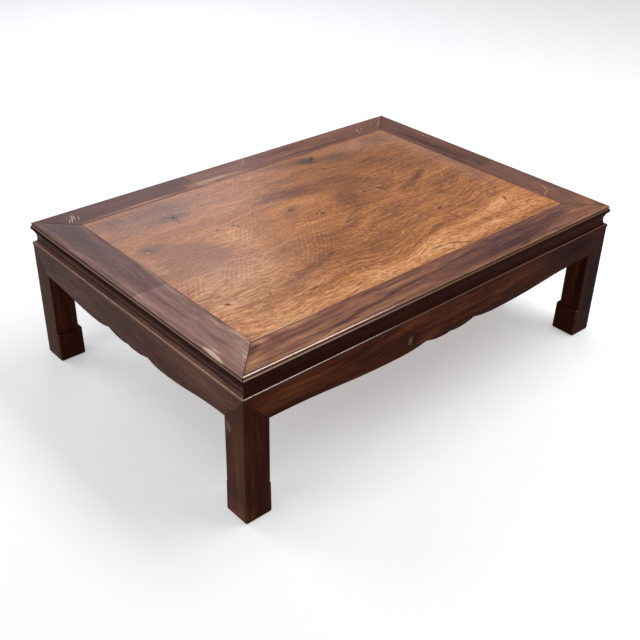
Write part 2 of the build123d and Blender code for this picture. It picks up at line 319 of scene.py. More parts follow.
def waxed_surface(tree, output, base, roughness, grain, polish, shiny=None):
    """Oiled and waxed wood: a soft sheen and fine open grain, with painted shade in its
    hollows, and arrises painted pale, partly for paling by use and partly as a painted highlight.

    polish is a dictionary. "specular" is the specular level of the faces, "worn" the
    colour painted on the arrises (paled by use, and a painted highlight), "wear" how much of it
    shows, and "satin" the roughness of their gloss. shiny is how strong that gloss is; without it
    they stay dull.
    """
    sloping, upright = arrises(tree)
    edge = add(tree, "ShaderNodeMath", {"operation": "MAXIMUM"}, {0: sloping, 1: upright})
    # Painted highlight in part: the arrises are painted paler, for paling by use and for the
    # light they catch
    wear_and_highlight = add(tree, "ShaderNodeMath", {"operation": "MULTIPLY"}, {0: edge, 1: polish["wear_highlight_share"]})
    # Painted shade: quirks and inner corners are darkened by their ambient occlusion
    hollow_shade = add(tree, "ShaderNodeMath", {"operation": "MULTIPLY"}, {0: painted_shade_in_hollows(tree), 1: HOLLOW_SHADE_SHARE})
    colours = painted(tree, painted(tree, base, polish["wear_highlight_colour"], wear_and_highlight), HOLLOW_SHADE_COLOUR, hollow_shade)
    bump = add(
        tree,
        "ShaderNodeBump",
        None,
        {"Height": grain, "Distance": GRAIN_DEPTH / MILLIMETRES, "Strength": 1.0},
    )
    finish = {
        "Base Color": colours,
        "Roughness": roughness,
        "Normal": bump,
        "IOR": WAX_IOR,
        "Specular IOR Level": polish["specular"],
    }
    if shiny is not None:
        finish["Coat Weight"] = add(
            tree, "ShaderNodeMath", {"operation": "MULTIPLY"}, {0: sloping, 1: shiny}
        )
        finish["Coat Roughness"] = polish["satin"]
        finish["Coat IOR"] = ARRIS_IOR
    surface = add(tree, "ShaderNodeBsdfPrincipled", None, finish)
    tree.links.new(surface.outputs[0], output.inputs["Surface"])


# ---------------------------------------------------------------- the panel
# Soft ovals of the panel: x, y, length, width, angle in degrees, change of tone
PANEL_FIGURE = (
    (-402, 45, 40, 130, 0, 0.26),
    (345, 226, 150, 60, 0, -0.20),
    (215, 236, 70, 30, 0, -0.16),
    (394, 20, 50, 270, 0, -0.22),
    (350, -152, 70, 24, 10, -0.16),
    (-70, -80, 90, 30, 20, -0.14),
    (40, -30, 90, 30, 25, -0.18),
    (20, -125, 200, 30, 4, -0.12),
    (-350, -90, 300, 280, 0, 0.30),
    (-385, -195, 110, 120, 0, 0.34),
    (-230, -100, 140, 160, 30, 0.22),
    (-230, 60, 130, 120, 0, 0.16),
    (-180, 160, 260, 90, -14, 0.16),
    (-290, 232, 330, 90, 0, -0.36),
    (0, 110, 230, 46, -8, -0.34),
    (20, 178, 180, 60, 0, -0.14),
    (65, 20, 100, 110, 0, -0.16),
    (220, -55, 380, 90, 10, -0.16),
    (270, 208, 260, 60, 0, -0.24),
    (345, 60, 100, 60, 20, -0.14),
    (190, -203, 260, 34, 8, 0.18),
    (150, -262, 260, 24, 2, 0.22),
    (380, -165, 110, 50, 0, 0.30),
    (-210, -228, 140, 40, 0, 0.20),
    (20, 132, 330, 60, -6, -0.34),
    (70, 250, 220, 50, 0, -0.26),
    (60, 180, 200, 30, -4, -0.14),
    (150, 95, 220, 110, -38, -0.30),
    (240, 160, 380, 110, -8, -0.26),
    (270, 80, 180, 160, -20, -0.22),
    (-250, 175, 300, 60, -8, -0.14),
    (350, 235, 160, 60, 0, -0.16),
    (340, 100, 160, 160, -30, -0.12),
    (90, 40, 140, 110, 30, -0.26),
    (120, 0, 190, 60, 24, -0.16),
    (-30, -76, 200, 44, 30, -0.14),
    (-80, -80, 120, 50, 10, -0.18),
    (95, -65, 130, 60, 15, -0.16),
    (-200, -154, 250, 28, 12, -0.30),
    (-350, -176, 160, 22, 5, -0.20),
    (0, -150, 330, 60, 8, -0.14),
    (245, 12, 170, 30, 22, -0.42),
    (290, -42, 180, 60, 20, -0.26),
    (330, -90, 220, 80, 8, -0.14),
    (120, -80, 220, 16, 5, -0.14),
    (300, -135, 240, 16, 4, -0.22),
    (120, -186, 190, 26, 9, -0.24),
    (-20, 70, 150, 80, -20, 0.14),
    (-110, 15, 240, 150, 20, 0.12),
    (-215, 20, 110, 190, -20, 0.24),
    (-250, -90, 260, 60, 38, 0.14),
    (-100, -240, 500, 80, 5, 0.44),
    (-330, -240, 240, 90, 6, 0.42),
    (-250, -200, 280, 40, 8, 0.26),
    (110, -250, 320, 60, 2, 0.36),
    (130, -212, 340, 44, 9, 0.24),
    (320, -190, 260, 60, 4, 0.40),
    (370, -220, 120, 50, 0, 0.24),
    (230, -240, 300, 40, 3, 0.22),
    (-390, -150, 90, 50, 0, 0.20),
    (390, -20, 60, 40, 30, 0.10),
    (-390, 50, 60, 120, 0, 0.16),
    (-345, -22, 180, 40, 0, 0.15),
    (-190, 20, 90, 140, 0, 0.13),
    (-270, 88, 180, 40, 0, 0.10),
    (235, 60, 90, 70, 0, 0.10),
    (-180, -115, 60, 40, 0, 0.10),
    (350, -155, 90, 24, 0, -0.14),
    (410, -140, 30, 60, 0, 0.10),
    (-310, 208, 280, 120, 0, -0.19),
    (-230, 252, 110, 40, 0, -0.12),
    (370, 190, 120, 90, 0, -0.10),
    (378, -40, 90, 120, 0, -0.14),
    (350, 45, 110, 60, 40, -0.10),
    (140, -108, 330, 26, 0, -0.12),
    (200, -186, 130, 44, 0, 0.12),
    (90, 127, 270, 24, -3, 0.14),
    (30, 97, 270, 24, -3, -0.12),
    (190, 15, 90, 70, 0, -0.08),
    (-110, -140, 130, 80, 0, -0.09),
    (-340, -160, 190, 70, 0, 0.10),
    (10, -72, 90, 26, 10, 0.14),
)

# Smoke round the knots: x, y, length, width, angle, strength
PANEL_SMOKE = (
    (158, 230, 200, 66, -2, 0.62),
    (148, 236, 66, 60, 40, 0.50),
    (215, 222, 90, 30, -4, 0.36),
    (250, 238, 110, 60, 0, 0.18),
    (-253, 178, 90, 40, -6, 0.42),
    (-252, 172, 30, 66, 0, 0.30),
    (-236, 186, 70, 26, -40, 0.40),
    (-268, 186, 60, 22, 30, 0.34),
    (-372, 88, 34, 34, 0, 0.60),
    (-350, 92, 60, 24, 20, 0.40),
    (-50, 62, 60, 30, 20, 0.35),
)

# Pinholes, checks and dents, nearly black: x, y, length, width, angle, strength
PANEL_MARKS = (
    (158, 238, 20, 12, 40, 1.6),
    (146, 224, 16, 8, -60, 1.5),
    (150, 232, 40, 5, 62, 0.9),
    (-254, 182, 16, 10, 70, 1.3),
    (-254, 164, 20, 5, 80, 0.9),
    (-370, -153, 22, 9, -40, 1.2),
    (168, 27, 26, 7, -55, 1.4),
    (130, 35, 10, 7, 0, 1.8),
    (-8, 12, 12, 9, -30, 1.8),
    (-18, 16, 8, 6, 0, 1.6),
    (-6, 24, 7, 6, 0, 1.3),
    (-182, 79, 10, 6, 0, 1.8),
    (-218, 82, 12, 6, 20, 1.6),
    (-176, 70, 12, 6, 70, 1.2),
    (-50, 62, 34, 20, 20, 0.6),
    (-120, 98, 54, 4.0, 50, 0.60),
    (-88, 132, 44, 4.0, 46, 0.50),
    (-58, 160, 40, 4.0, 38, 0.45),
    (-128, 72, 40, 3.6, 60, 0.50),
    (80, -240, 60, 4.0, -6, 0.9),
    (112, -250, 70, 5.0, -30, 1.5),
    (62, -237, 50, 4.0, 0, 1.0),
    (336, -178, 26, 6.0, 62, 1.2),
    (197, -122, 22, 14, 20, 0.7),
    (-110, -128, 34, 6, 10, 0.8),
    (-215, -205, 40, 7, 0, 0.8),
    (-290, -170, 20, 6, 70, 0.7),
    (235, -214, 14, 6, 10, 1.0),
    (90, -130, 18, 6, 10, 0.9),
)

# Scratches that show as pale lines: x, y, length, width, angle, strength
PANEL_SCRATCHES = (
    (57, -152, 16, 3.0, 50, 1.4),
    (-103, -207, 14, 3.0, 55, 1.4),
    (24, -30, 10, 3.0, 20, 1.0),
    (190, 52, 70, 2.6, 28, 0.35),
    (260, 70, 60, 2.6, 30, 0.35),
    (-330, -60, 110, 2.4, 40, 0.3),
    (-300, -90, 90, 2.4, 52, 0.25),
    (120, -170, 90, 2.4, 14, 0.5),
    # Not a scratch: a pale spot on the eye of a knot, a painted highlight
    (-372, 88, 11, 16, 0, 0.3),
)

# Painted reflection: a dull pinkish haze painted on the panel: x, y, length, width, angle,
# strength
PANEL_PAINTED_HAZE = (
    (300, 235, 380, 110, 0, 0.26),
    (395, 130, 70, 330, 0, 0.26),
    (385, -40, 90, 200, 0, 0.20),
    (-310, -45, 200, 130, 20, 0.12),
    (-300, -60, 420, 420, 0, 0.24),
    (-260, 190, 480, 160, 0, 0.20),
)

# A smooth brown patch with a clear edge: x, y, length, width, angle
PANEL_PATCH = (-348, 30, 236, 146, -14)

# Where the figure ripples across the grain: x, y, length, width, angle, strength
PANEL_RIPPLES = (
    (-110, -84, 170, 90, 38, 0.60),
    (-285, -72, 130, 66, 40, 0.50),
    (-385, -72, 70, 80, 50, 0.50),
    (-175, 50, 130, 110, 60, 0.22),
    (-40, 0, 110, 70, 30, 0.20),
    (340, -30, 160, 110, 30, 0.20),
)

# The streaks of the panel's figure: length, width, change of tone
PANEL_STREAKS = (
    (420.0, 30.0, 0.40),
    (170.0, 8.0, 0.40),
)
PANEL_TONE = 0.54
PANEL_STOPS = (
    (0.0, "#643b27"),
    (0.28, "#825033"),
    (0.5, "#a4683c"),
    (0.72, "#c07e4a"),
    (1.0, "#e4a878"),
)
# The silky ripples: how far apart, and the angle in degrees between them and the width
RIPPLE_SPACING = 8.5
RIPPLE_ANGLE = 37
WAVE_LENGTH = 0.314  # of the Wave node at a scale of 1
# Where the grain is coarser and its pores are thicker: from the back to the front
COARSE_FROM, COARSE_TO = 120.0, -160.0
PORES_FROM, PORES_TO = 160.0, -160.0
PORE_LENGTH, PORE_WIDTH = 22.0, 2.8
RIM_FROM, RIM_TO = -4.4, -1.6  # the rim painted pale, for paling by use and as a painted highlight: from here to the joint, and in full
# The colours of what lies over the figure
PANEL_COLOURS = {
    "pores": "#6a3620",
    # Two of these are painted light: pale glints, and a pinkish haze of reflection
    "painted_glints": "#d8cfc8",
    "painted_haze": "#a58c84",
    "patch": "#7e5548",
    "smoke": "#453630",
    "marks": "#2a1710",
    "scratches": "#e6bd92",
    "rim": "#e0bb8e",
}
PANEL_POLISH = {"specular": 0.12, "wear_highlight_colour": "#e0bd92", "wear_highlight_share": 0.2, "satin": 0.1}


def panel_tone(tree, place, pushed, flow, depth, fibre, patches):
    """The figure of the panel: flames, veins, fibres, and ripples inside their ovals."""
    tone = constant(tree, PANEL_TONE)
    for length, width, amount in PANEL_STREAKS:
        tone = mixed_in(tree, tone, streaks(tree, flow, ALONG_X, length, width), amount)
    tone = with_ovals(tree, pushed, tone, "top", PANEL_FIGURE)
    lines = veins(tree, flow, ALONG_X, length=260.0, width=14.0, thickness=0.03)
    tone = lifted(tree, tone, lines, -0.12)
    coarser = soft_step(tree, depth, COARSE_FROM, COARSE_TO, to_low=0.55, to_high=1.1)
    long_fibre = streaks(tree, flow, ALONG_X, length=110.0, width=3.0, detail=2.0, roughness=0.6)
    tone = mixed_in(tree, tone, long_fibre, coarser)
    tone = mixed_in(tree, tone, fibre, 0.64)
    tone = mixed_in(tree, tone, patches, 0.34)

    turned = add(
        tree,
        "ShaderNodeMapping",
        None,
        {
            "Vector": wandering(tree, place, size=60.0, reach=16.0),
            "Rotation": (0, 0, math.radians(RIPPLE_ANGLE)),
        },
    )
    wave = add(
        tree,
        "ShaderNodeTexWave",
        {"wave_type": "BANDS", "bands_direction": "X", "wave_profile": "SIN"},
        {
            "Vector": turned,
            "Scale": WAVE_LENGTH / RIPPLE_SPACING,
            "Distortion": 1.6,
            "Detail": 2.0,
            "Detail Scale": 0.02,
        },
    )
    rippled = spots(tree, place, "top", PANEL_RIPPLES, most=0.15)
    return mixed_in(tree, tone, wave.outputs["Fac"], rippled)


def marked_panel(tree, place, flow, depth, fibre, base):
    """The panel's pores, painted glints and a painted haze of reflection, a brown patch, smoke
    round the knots, pinholes and scratches.

    depth is the place from front to back.
    """
    # Open pores, drawn several times their real width so that they show
    pores = streaks(tree, flow, ALONG_X, PORE_LENGTH, PORE_WIDTH, detail=1.0, roughness=0.5)
    thick = soft_step(tree, depth, PORES_FROM, PORES_TO, to_low=0.2, to_high=0.6)
    # Painted glints: fine pale greyish marks that stand in for glints of light on the wax and
    # soften the colour
    painted_glints = streaks(tree, place, ALONG_X, length=6.0, width=3.2, detail=2.0, roughness=0.6)
    patch = oval(tree, flow, "top", *PANEL_PATCH)
    # The smoke follows the fibres
    smoke = add(
        tree,
        "ShaderNodeMath",
        {"operation": "MULTIPLY", "use_clamp": True},
        {0: spots(tree, flow, "top", PANEL_SMOKE, most=1.0), 1: lifted(tree, 0.0, fibre, 2.0)},
    )
    shares = {
        "pores": soft_step(tree, pores, low=0.57, high=0.68, to_high=thick),
        "painted_glints": soft_step(tree, painted_glints, low=0.42, high=0.68, to_high=0.05),
        "painted_haze": spots(tree, place, "top", PANEL_PAINTED_HAZE, most=0.4),
        "patch": soft_step(tree, patch, low=0.04, high=0.22, to_high=0.36),
        "smoke": smoke,
        "marks": spots(tree, place, "top", PANEL_MARKS, most=0.85),
        "scratches": spots(tree, place, "top", PANEL_SCRATCHES, most=0.7),
    }
    for name, share in shares.items():
        base = painted(tree, base, PANEL_COLOURS[name], share)
    return base


def rim_wear_and_highlight(tree, place, patches, base):
    """The rim of the panel, painted pale in patches along its joint with the frame: partly paling
    by use, partly a painted highlight.
    """
    half_length, half_width = HALF_LENGTH - MEMBER_WIDTH, HALF_WIDTH - MEMBER_WIDTH
    _, _, past = outside_of(tree, place, half_length, half_width)
    near = soft_step(tree, past, RIM_FROM, RIM_TO)
    patchy = soft_step(tree, patches, low=0.35, high=0.6, to_low=0.1, to_high=0.6)
    wear_and_highlight = add(tree, "ShaderNodeMath", {"operation": "MULTIPLY"}, {0: near, 1: patchy})
    return painted(tree, base, PANEL_COLOURS["rim"], wear_and_highlight)


def figured_panel_wood():
    """Waxed figured huali board: golden orange wood with smoky purple-brown flames.

    The grain runs along the board and wanders. Soft ovals give its flames, and waves
    that cross the grain give it the silky ripple of curly wood.
    """
    material, tree, output = new_material("waxed_figured_huali")
    place = place_in_mm(tree)
    depth = add(tree, "ShaderNodeSeparateXYZ", None, {0: place}).outputs[1]
    pushed = wandering(tree, place, size=190.0, reach=70.0)
    flow = wandering(tree, pushed, size=42.0, reach=9.0)
    fibre = streaks(tree, flow, ALONG_X, length=17.0, width=3.0, roughness=0.65)
    patches = mottle(tree, place, size=6.0)
    tone = panel_tone(tree, place, pushed, flow, depth, fibre, patches)
    base = colour_ramp(tree, tone, PANEL_STOPS)
    base = marked_panel(tree, place, flow, depth, fibre, base)
    base = rim_wear_and_highlight(tree, place, patches, base)
    roughness = varied(tree, patches, least=0.24, most=0.38)
    # Of the panel's rounded edges only the one along the front rail is bright
    shiny = soft_step(tree, facing(tree)[1], low=-0.1, high=-0.35, to_high=0.6)
    waxed_surface(tree, output, base, roughness, fibre, PANEL_POLISH, shiny)
    return material


# ---------------------------------------------------------------- straight-grained wood
# The bands, streaks and fibres of the grain are this wide, and this many times as long.
# Real fibres are far finer, and are drawn this coarse so that they show.
GRAIN_WIDTHS = (26.0, 7.0, 2.4)
GRAIN_STRETCH = 18.0
REFLECTION_EDGE = 1.5  # half the width of the sharp step in tone at the edge of a painted reflection
PATCH_SIZE, PATCH_ROUGHNESS = 35.0, 0.07  # duller and glossier patches, and by how much
# Painted shade down the moulded edge begins, and is full, this far below the top
EDGE_SHADE_BEGINS, EDGE_SHADE_FULL = 1.8, 4.0
EDGE_SHADE_SHARE, EDGE_ROUGHNESS = 0.93, 0.6  # how much of the painted shade covers, and how much duller the edge is
BEAD_HIGHLIGHT_HALF, BEAD_HIGHLIGHT_MIDDLE = 1.6, 0.3  # half the height of the painted highlight along the bead, soft and full
BEAD_HIGHLIGHT_FROM, BEAD_HIGHLIGHT_TO = -480.0, 150.0  # along the front the painted highlight on the bead fades between these places
MITRE_HALF, MITRE_MIDDLE = 2.2, 0.6  # half the width of a mitre's dark line, soft and full
SIDE_VEIL_FROM, SIDE_VEIL_TO = -9.0, -6.0  # the pale veil of reflection painted on the end faces: from here outwards, and in full
# The colours of what lies over the grain
OVER_GRAIN = {
    "scuffs": "#dcbfa6",
    # Painted light: the next three are a highlight along the bead, a haze of reflection on the
    # faces that look up, and a pale veil of reflection on the end faces
    "bead_highlight": "#d6b29e",
    "painted_haze": "#d0c8d0",
    "side_veil": "#8c7a6c",
    "mitre": "#1c0e0b",
}

# Old scuffs, by face: the two places on the face, length, width, angle, strength
SCUFFS = {
    "top": (
        (-412, 300, 38, 2.8, 64, 1.3),
        (-405, 305, 30, 2.6, 76, 1.2),
        (-419, 297, 22, 2.6, 58, 1.1),
        (-399, 298, 20, 2.6, 70, 1.0),
        (-408, 313, 16, 2.4, 40, 0.9),
        (362, 303, 30, 2.6, 62, 0.9),
        (372, 299, 22, 2.4, 54, 0.8),
        (356, 291, 18, 2.4, 72, 0.7),
        (25, 317, 40, 2.4, 58, 0.7),
        (15, 311, 26, 2.4, 52, 0.5),
        (430, 300, 60, 2.4, 40, 0.5),
        (412, 308, 44, 2.4, 42, 0.4),
        (446, -198, 50, 2.4, 55, 0.7),
        (424, -216, 36, 2.4, 28, 0.6),
    ),
    "front": (
        (-109, 213, 14, 24, 8, 0.18),
        (-105, 219, 9, 12, 0, 0.10),
    ),
    "left": (
        (-299, 188, 15, 28, 0, 0.22),
        (-303, 180, 9, 14, 20, 0.14),
    ),
}


def straight_tone(tree, pushed, along, middle, strengths):
    """The tone of straight grain, and its finest fibres for the relief of the surface."""
    tone = constant(tree, middle)
    for width, strength in zip(GRAIN_WIDTHS, strengths):
        length = width * GRAIN_STRETCH
        fibre = streaks(tree, pushed, along, length, width, roughness=0.6)
        tone = mixed_in(tree, tone, fibre, strength)
    lines = veins(tree, pushed, along, length=420.0, width=13.0, thickness=0.04)
    return lifted(tree, tone, lines, -strengths[-1]), fibre


def painted_bead_highlight(tree, length_place, height, most):
    """A painted highlight along the bead round the frame, fading along the front to the right."""
    off = apart(tree, height, HEIGHT - BEAD_DROP)
    bead_highlight = soft_step(tree, off, BEAD_HIGHLIGHT_HALF, BEAD_HIGHLIGHT_MIDDLE, to_high=most)
    less = soft_step(tree, length_place, BEAD_HIGHLIGHT_FROM, BEAD_HIGHLIGHT_TO, to_low=1.0, to_high=0.14)
    return add(tree, "ShaderNodeMath", {"operation": "MULTIPLY"}, {0: bead_highlight, 1: less})


def straight_wood(
    name, along, stops, middle, strengths, roughness, polish, figure=None, step=None, bands=()
):
    """Waxed straight-grained rosewood: bands, streaks, fibres and thin dark veins.

    stops colour the tone, and middle is the tone between dark and pale grain. strengths
    belong to bands 26 mm wide, streaks of 7 mm, fibres of 2.4 mm and the veins. figure
    gives soft ovals by face, each with its change of tone. step is a place along the
    piece and the change of tone beyond it, the sharp edge of a painted reflection. bands are
    level bands of another tone: height, half height, change of tone; those given are
    painted shade and painted highlights.

    polish may also hold "gloss", how bright the outer arrises are; "stain", the colour
    of the painted shade down the moulded edge, and "crest", how strong the painted highlight
    along its bead is; "bloom", how much a painted haze of reflection pales the faces that look
    up; and "faded", how much a painted veil of reflection pales the end faces.
    """
    material, tree, output = new_material(name)
    place = place_in_mm(tree)
    x, _, z = add(tree, "ShaderNodeSeparateXYZ", None, {0: place}).outputs
    pushed = wandering(tree, place, size=150.0, reach=22.0)
    tone, fibre = straight_tone(tree, pushed, along, middle, strengths)
    for face, ovals in (figure or {}).items():
        tone = with_ovals(tree, pushed, tone, face, ovals)
    # A sharp step in tone: the edge of a painted reflection
    if step:
        end, change = step
        pushed_parts = add(tree, "ShaderNodeSeparateXYZ", None, {0: pushed}).outputs
        low, high = end - REFLECTION_EDGE, end + REFLECTION_EDGE
        beyond = soft_step(tree, pushed_parts[along], low, high, to_high=change)
        tone = add(tree, "ShaderNodeMath", {"operation": "ADD"}, {0: tone, 1: beyond})
    # Level bands of tone; those given paint shade and highlights on the short sides
    for height, half, lift in bands:
        band = soft_step(tree, apart(tree, z, height), half, half / 3, to_high=lift)
        tone = add(tree, "ShaderNodeMath", {"operation": "ADD"}, {0: tone, 1: band})
    base = colour_ramp(tree, tone, stops)

    for face, ovals in SCUFFS.items():
        scuffs = spots(tree, place, face, ovals, most=0.75)
        base = painted(tree, base, OVER_GRAIN["scuffs"], scuffs)
    past_end, past_side, past = outside_of(tree, place, HALF_LENGTH, HALF_WIDTH)
    patches = mottle(tree, place, PATCH_SIZE)
    rough = varied(tree, patches, roughness - PATCH_ROUGHNESS, roughness + PATCH_ROUGHNESS)
    shiny = None
    if "gloss" in polish:
        shiny = soft_step(
            tree, past, -GLOSS_REACH - GLOSS_FADE, -GLOSS_REACH, to_high=polish["gloss"]
        )
    if "edge_shade" in polish:
        # Painted shade darkens the moulded edge from just below the top down, with a painted
        # highlight along its bead; the edge is duller too
        under = soft_step(tree, z, HEIGHT - EDGE_SHADE_BEGINS, HEIGHT - EDGE_SHADE_FULL)
        edge_shade = lifted(tree, 0.0, under, EDGE_SHADE_SHARE)
        bead_highlight = painted_bead_highlight(tree, x, z, polish["bead_highlight"])
        base = painted(tree, base, polish["edge_shade"], edge_shade)
        base = painted(tree, base, OVER_GRAIN["bead_highlight"], bead_highlight)
        shiny = lifted(tree, shiny, under, -polish["gloss"])
        rough = lifted(tree, rough, under, EDGE_ROUGHNESS)
    # Painted reflection: the faces that look up are made paler by a greyish haze
    if "painted_haze" in polish:
        up = soft_step(tree, facing(tree)[2], low=0.9, high=0.99, to_high=polish["painted_haze"])
        base = painted(tree, base, OVER_GRAIN["painted_haze"], up)
    # Painted reflection: a pale veil on the faces that look along the length, near the ends
    if "side_veil" in polish:
        endways = add(tree, "ShaderNodeMath", {"operation": "ABSOLUTE"}, {0: facing(tree)[0]})
        outer = soft_step(tree, past_end, SIDE_VEIL_FROM, SIDE_VEIL_TO, to_high=polish["side_veil"])
        side_veil = soft_step(tree, endways, low=0.7, high=0.95, to_high=outer)
        base = painted(tree, base, OVER_GRAIN["side_veil"], side_veil)
    off_mitre = apart(tree, past_end, past_side)
    mitre = soft_step(tree, off_mitre, MITRE_HALF, MITRE_MIDDLE, to_high=0.75)
    base = painted(tree, base, OVER_GRAIN["mitre"], mitre)
    waxed_surface(tree, output, base, rough, fibre, polish, shiny)
    return material


def set_material(node_name, material):
    """Puts the material into every slot of a piece of the frame."""
    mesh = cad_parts[node_name].data
    for index in range(len(mesh.materials)):
        mesh.materials[index] = material


# ---------------------------------------------------------------- the frame round the panel
# Soft ovals of the frame, by member: x, y, length, width, angle in degrees, change of tone
FRONT_FIGURE = (
    (-425, -292, 60, 16, 35, -0.25),
    (-440, -315, 80, 40, 20, 0.25),
    (-330, -276, 190, 16, 0, 0.36),
    (-402, -278, 50, 22, 0, 0.40),
    (-200, -288, 190, 16, 4, 0.24),
    (-95, -286, 90, 12, 0, 0.24),
    (-300, -298, 200, 10, 3, -0.12),
    (-330, -308, 220, 16, 3, 0.22),
    (-300, -330, 300, 16, 0, 0.22),
    (-215, -317, 240, 12, 7, -0.36),
    (-125, -304, 50, 10, 0, -0.30),
    (-60, -299, 190, 10, 2, -0.32),
    (60, -290, 200, 12, 6, -0.25),
    (250, -287, 400, 60, 1, -0.28),
    (120, -316, 420, 40, 0, -0.34),
    (230, -322, 240, 36, 0, -0.30),
    (330, -310, 200, 70, 0, -0.14),
    (-95, -313, 80, 12, 0, -0.12),
    (-175, -302, 110, 16, 0, 0.30),
    (-415, -278, 60, 36, 0, 0.12),
    (170, -291, 340, 16, 0, -0.10),
    (310, -326, 110, 14, 0, 0.16),
    (-110, -326, 220, 14, 0, 0.20),
    (400, -303, 60, 30, 0, 0.15),
    (330, -284, 220, 12, 0, 0.16),
)
BACK_FIGURE = (
    (-450, 300, 90, 110, 0, -0.15),
    (-260, 275, 420, 16, 0, 0.30),
    (-110, 282, 140, 30, 0, 0.30),
    (120, 296, 200, 12, 0, 0.22),
    (-40, 312, 260, 30, 0, 0.16),
    (210, 283, 290, 12, -2, -0.30),
    (150, 318, 200, 20, 0, -0.25),
    (-60, 285, 180, 16, 0, 0.25),
    (260, 318, 300, 30, 0, 0.12),
    (420, 310, 90, 60, 35, -0.15),
    (-270, 276, 320, 16, 0, 0.32),
    (-60, 284, 200, 50, 0, 0.12),
    (-138, 286, 50, 36, 0, 0.22),
    (-20, 276, 100, 22, 0, 0.26),
    (110, 274, 160, 10, 0, 0.20),
)
LEFT_FIGURE = (
    (-440, 180, 30, 420, 0, -0.22),
    (-472, 160, 16, 260, 0, 0.30),
    (-415, 200, 14, 160, 0, 0.10),
    (-448, -85, 12, 140, 0, -0.25),
    (-468, 0, 20, 300, 0, 0.30),
    (-413, 10, 14, 260, 0, 0.34),
    (-436, 100, 40, 200, 0, 0.12),
    (-412, -235, 14, 90, 0, 0.40),
    (-420, -195, 14, 110, 0, 0.25),
    (-411, -185, 8, 130, 0, -0.30),
    (-460, -200, 30, 160, 0, 0.16),
    (-440, -300, 80, 130, 0, 0.22),
    (-440, 240, 90, 180, 0, -0.10),
    (-478, -260, 11, 72, 0, 0.90),
    (-470, -252, 8, 50, 4, 0.40),
    (-438, 190, 22, 220, 0, 0.14),
    (-462, 0, 24, 90, 0, 0.12),
    (-436, -195, 18, 120, 0, 0.18),
    (-420, -262, 40, 60, 0, 0.16),
)
RIGHT_FIGURE = (
    (430, 150, 26, 240, 0, -0.26),
    (445, -10, 60, 50, 0, -0.10),
    (430, 60, 50, 200, 0, -0.20),
    (465, 180, 14, 240, 0, 0.25),
    (450, -185, 14, 130, 0, 0.16),
    (412, -190, 14, 90, 0, 0.16),
    (462, -290, 40, 70, 0, 0.20),
    (422, 100, 14, 260, 0, 0.20),
    (427, 0, 18, 60, 0, 0.22),
)
FRONT_STOPS = (
    (0.0, "#371d1b"),
    (0.3, "#56342e"),
    (0.55, "#7e503c"),
    (0.8, "#a87552"),
    (1.0, "#d0a07a"),
)
BACK_STOPS = (
    (0.0, "#361c15"),
    (0.3, "#543023"),
    (0.55, "#744836"),
    (0.8, "#936348"),
    (1.0, "#b99073"),
)
LEFT_STOPS = (
    (0.0, "#33201e"),
    (0.3, "#56382f"),
    (0.55, "#7a544a"),
    (0.8, "#9d7566"),
    (1.0, "#d2b094"),
)
RIGHT_STOPS = (
    (0.0, "#321f1a"),
    (0.3, "#523329"),
    (0.55, "#6f493b"),
    (0.8, "#966440"),
    (1.0, "#bd8d5a"),
)
# How strong the bands, streaks, fibres and veins of a member are
FRONT_STRENGTHS = (0.34, 0.50, 0.72, 0.18)
OTHER_STRENGTHS = (0.26, 0.28, 0.55, 0.10)
# The moulded edge carries painted shade with a painted highlight along its bead, and the faces
# that look up a painted haze of reflection
FRAME_POLISH = {
    "specular": 0.03,
    "wear_highlight_colour": "#c8a688",
    "wear_highlight_share": 0.08,
    "gloss": 1.0,
    "satin": 0.07,
    "edge_shade": "#240a04",
    "bead_highlight": 0.72,
    "painted_haze": 0.03,
}

# Waxed rosewood of the frame: purplish brown with paler sapwood streaks, low in sheen on
# its faces, with bright arrises painted paler in part as a highlight, a moulded edge darkened
# by painted shade with a painted highlight along its bead, a painted haze of reflection on
# the faces that look up, and on three members a sharp step in tone at the edge of a painted
# reflection. Each member is its own board.
FRAME_WOODS = {
    "frame_rail_front": {
        "along": ALONG_X,
        "stops": FRONT_STOPS,
        "middle": 0.56,
        "strengths": FRONT_STRENGTHS,
        "polish": {**FRAME_POLISH, "wear_highlight_share": 0.22},
        "figure": {"top": FRONT_FIGURE},
    },
    "frame_rail_back": {
        "along": ALONG_X,
        "stops": BACK_STOPS,
        "middle": 0.38,
        "strengths": OTHER_STRENGTHS,
        "polish": {**FRAME_POLISH, "painted_haze": 0.05},
        "figure": {"top": BACK_FIGURE},
        "step": (-125.0, 0.18),
    },
    "frame_end_left": {
        "along": ALONG_Y,
        "stops": LEFT_STOPS,
        "middle": 0.63,
        "strengths": OTHER_STRENGTHS,
        "polish": {**FRAME_POLISH, "gloss": 0.22, "satin": 0.16, "painted_haze": 0.06, "bead_highlight": 0.36},
        "figure": {"top": LEFT_FIGURE},
        "step": (-28.0, -0.22),
    },
    "frame_end_right": {
        "along": ALONG_Y,
        "stops": RIGHT_STOPS,
        "middle": 0.54,
        "strengths": OTHER_STRENGTHS,
        "polish": FRAME_POLISH,
        "figure": {"top": RIGHT_FIGURE},
        "step": (-28.0, -0.10),
    },
}


